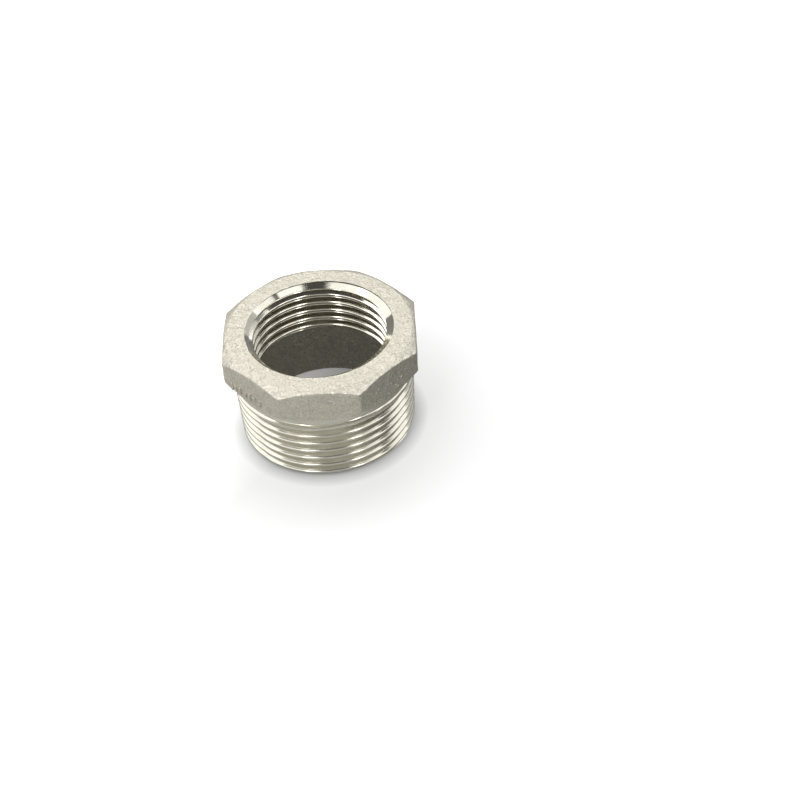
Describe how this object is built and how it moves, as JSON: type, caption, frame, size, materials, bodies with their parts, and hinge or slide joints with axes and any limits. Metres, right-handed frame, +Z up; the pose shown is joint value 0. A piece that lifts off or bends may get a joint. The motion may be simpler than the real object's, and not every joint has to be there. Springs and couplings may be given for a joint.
{
  "type": "reducing pipe bushing",
  "caption": "Cast stainless reducing bushing with an octagonal wrench head, a male taper pipe thread outside and a smaller female pipe thread inside.",
  "frame": {"origin": "centre of the end face of the male thread, on which it stands", "axes": "+Z up the bore, from the threaded end to the wrench head; X and Y square to two of the four pairs of wrench flats"},
  "size_m": [0.044, 0.044, 0.0275],
  "materials": {
    "cast_stainless": "matte as-cast head and recess, bright machined threads and countersink"
  },
  "bodies": {
    "root": {"bushing_body": "cast_stainless"}
  },
  "joints": []
}
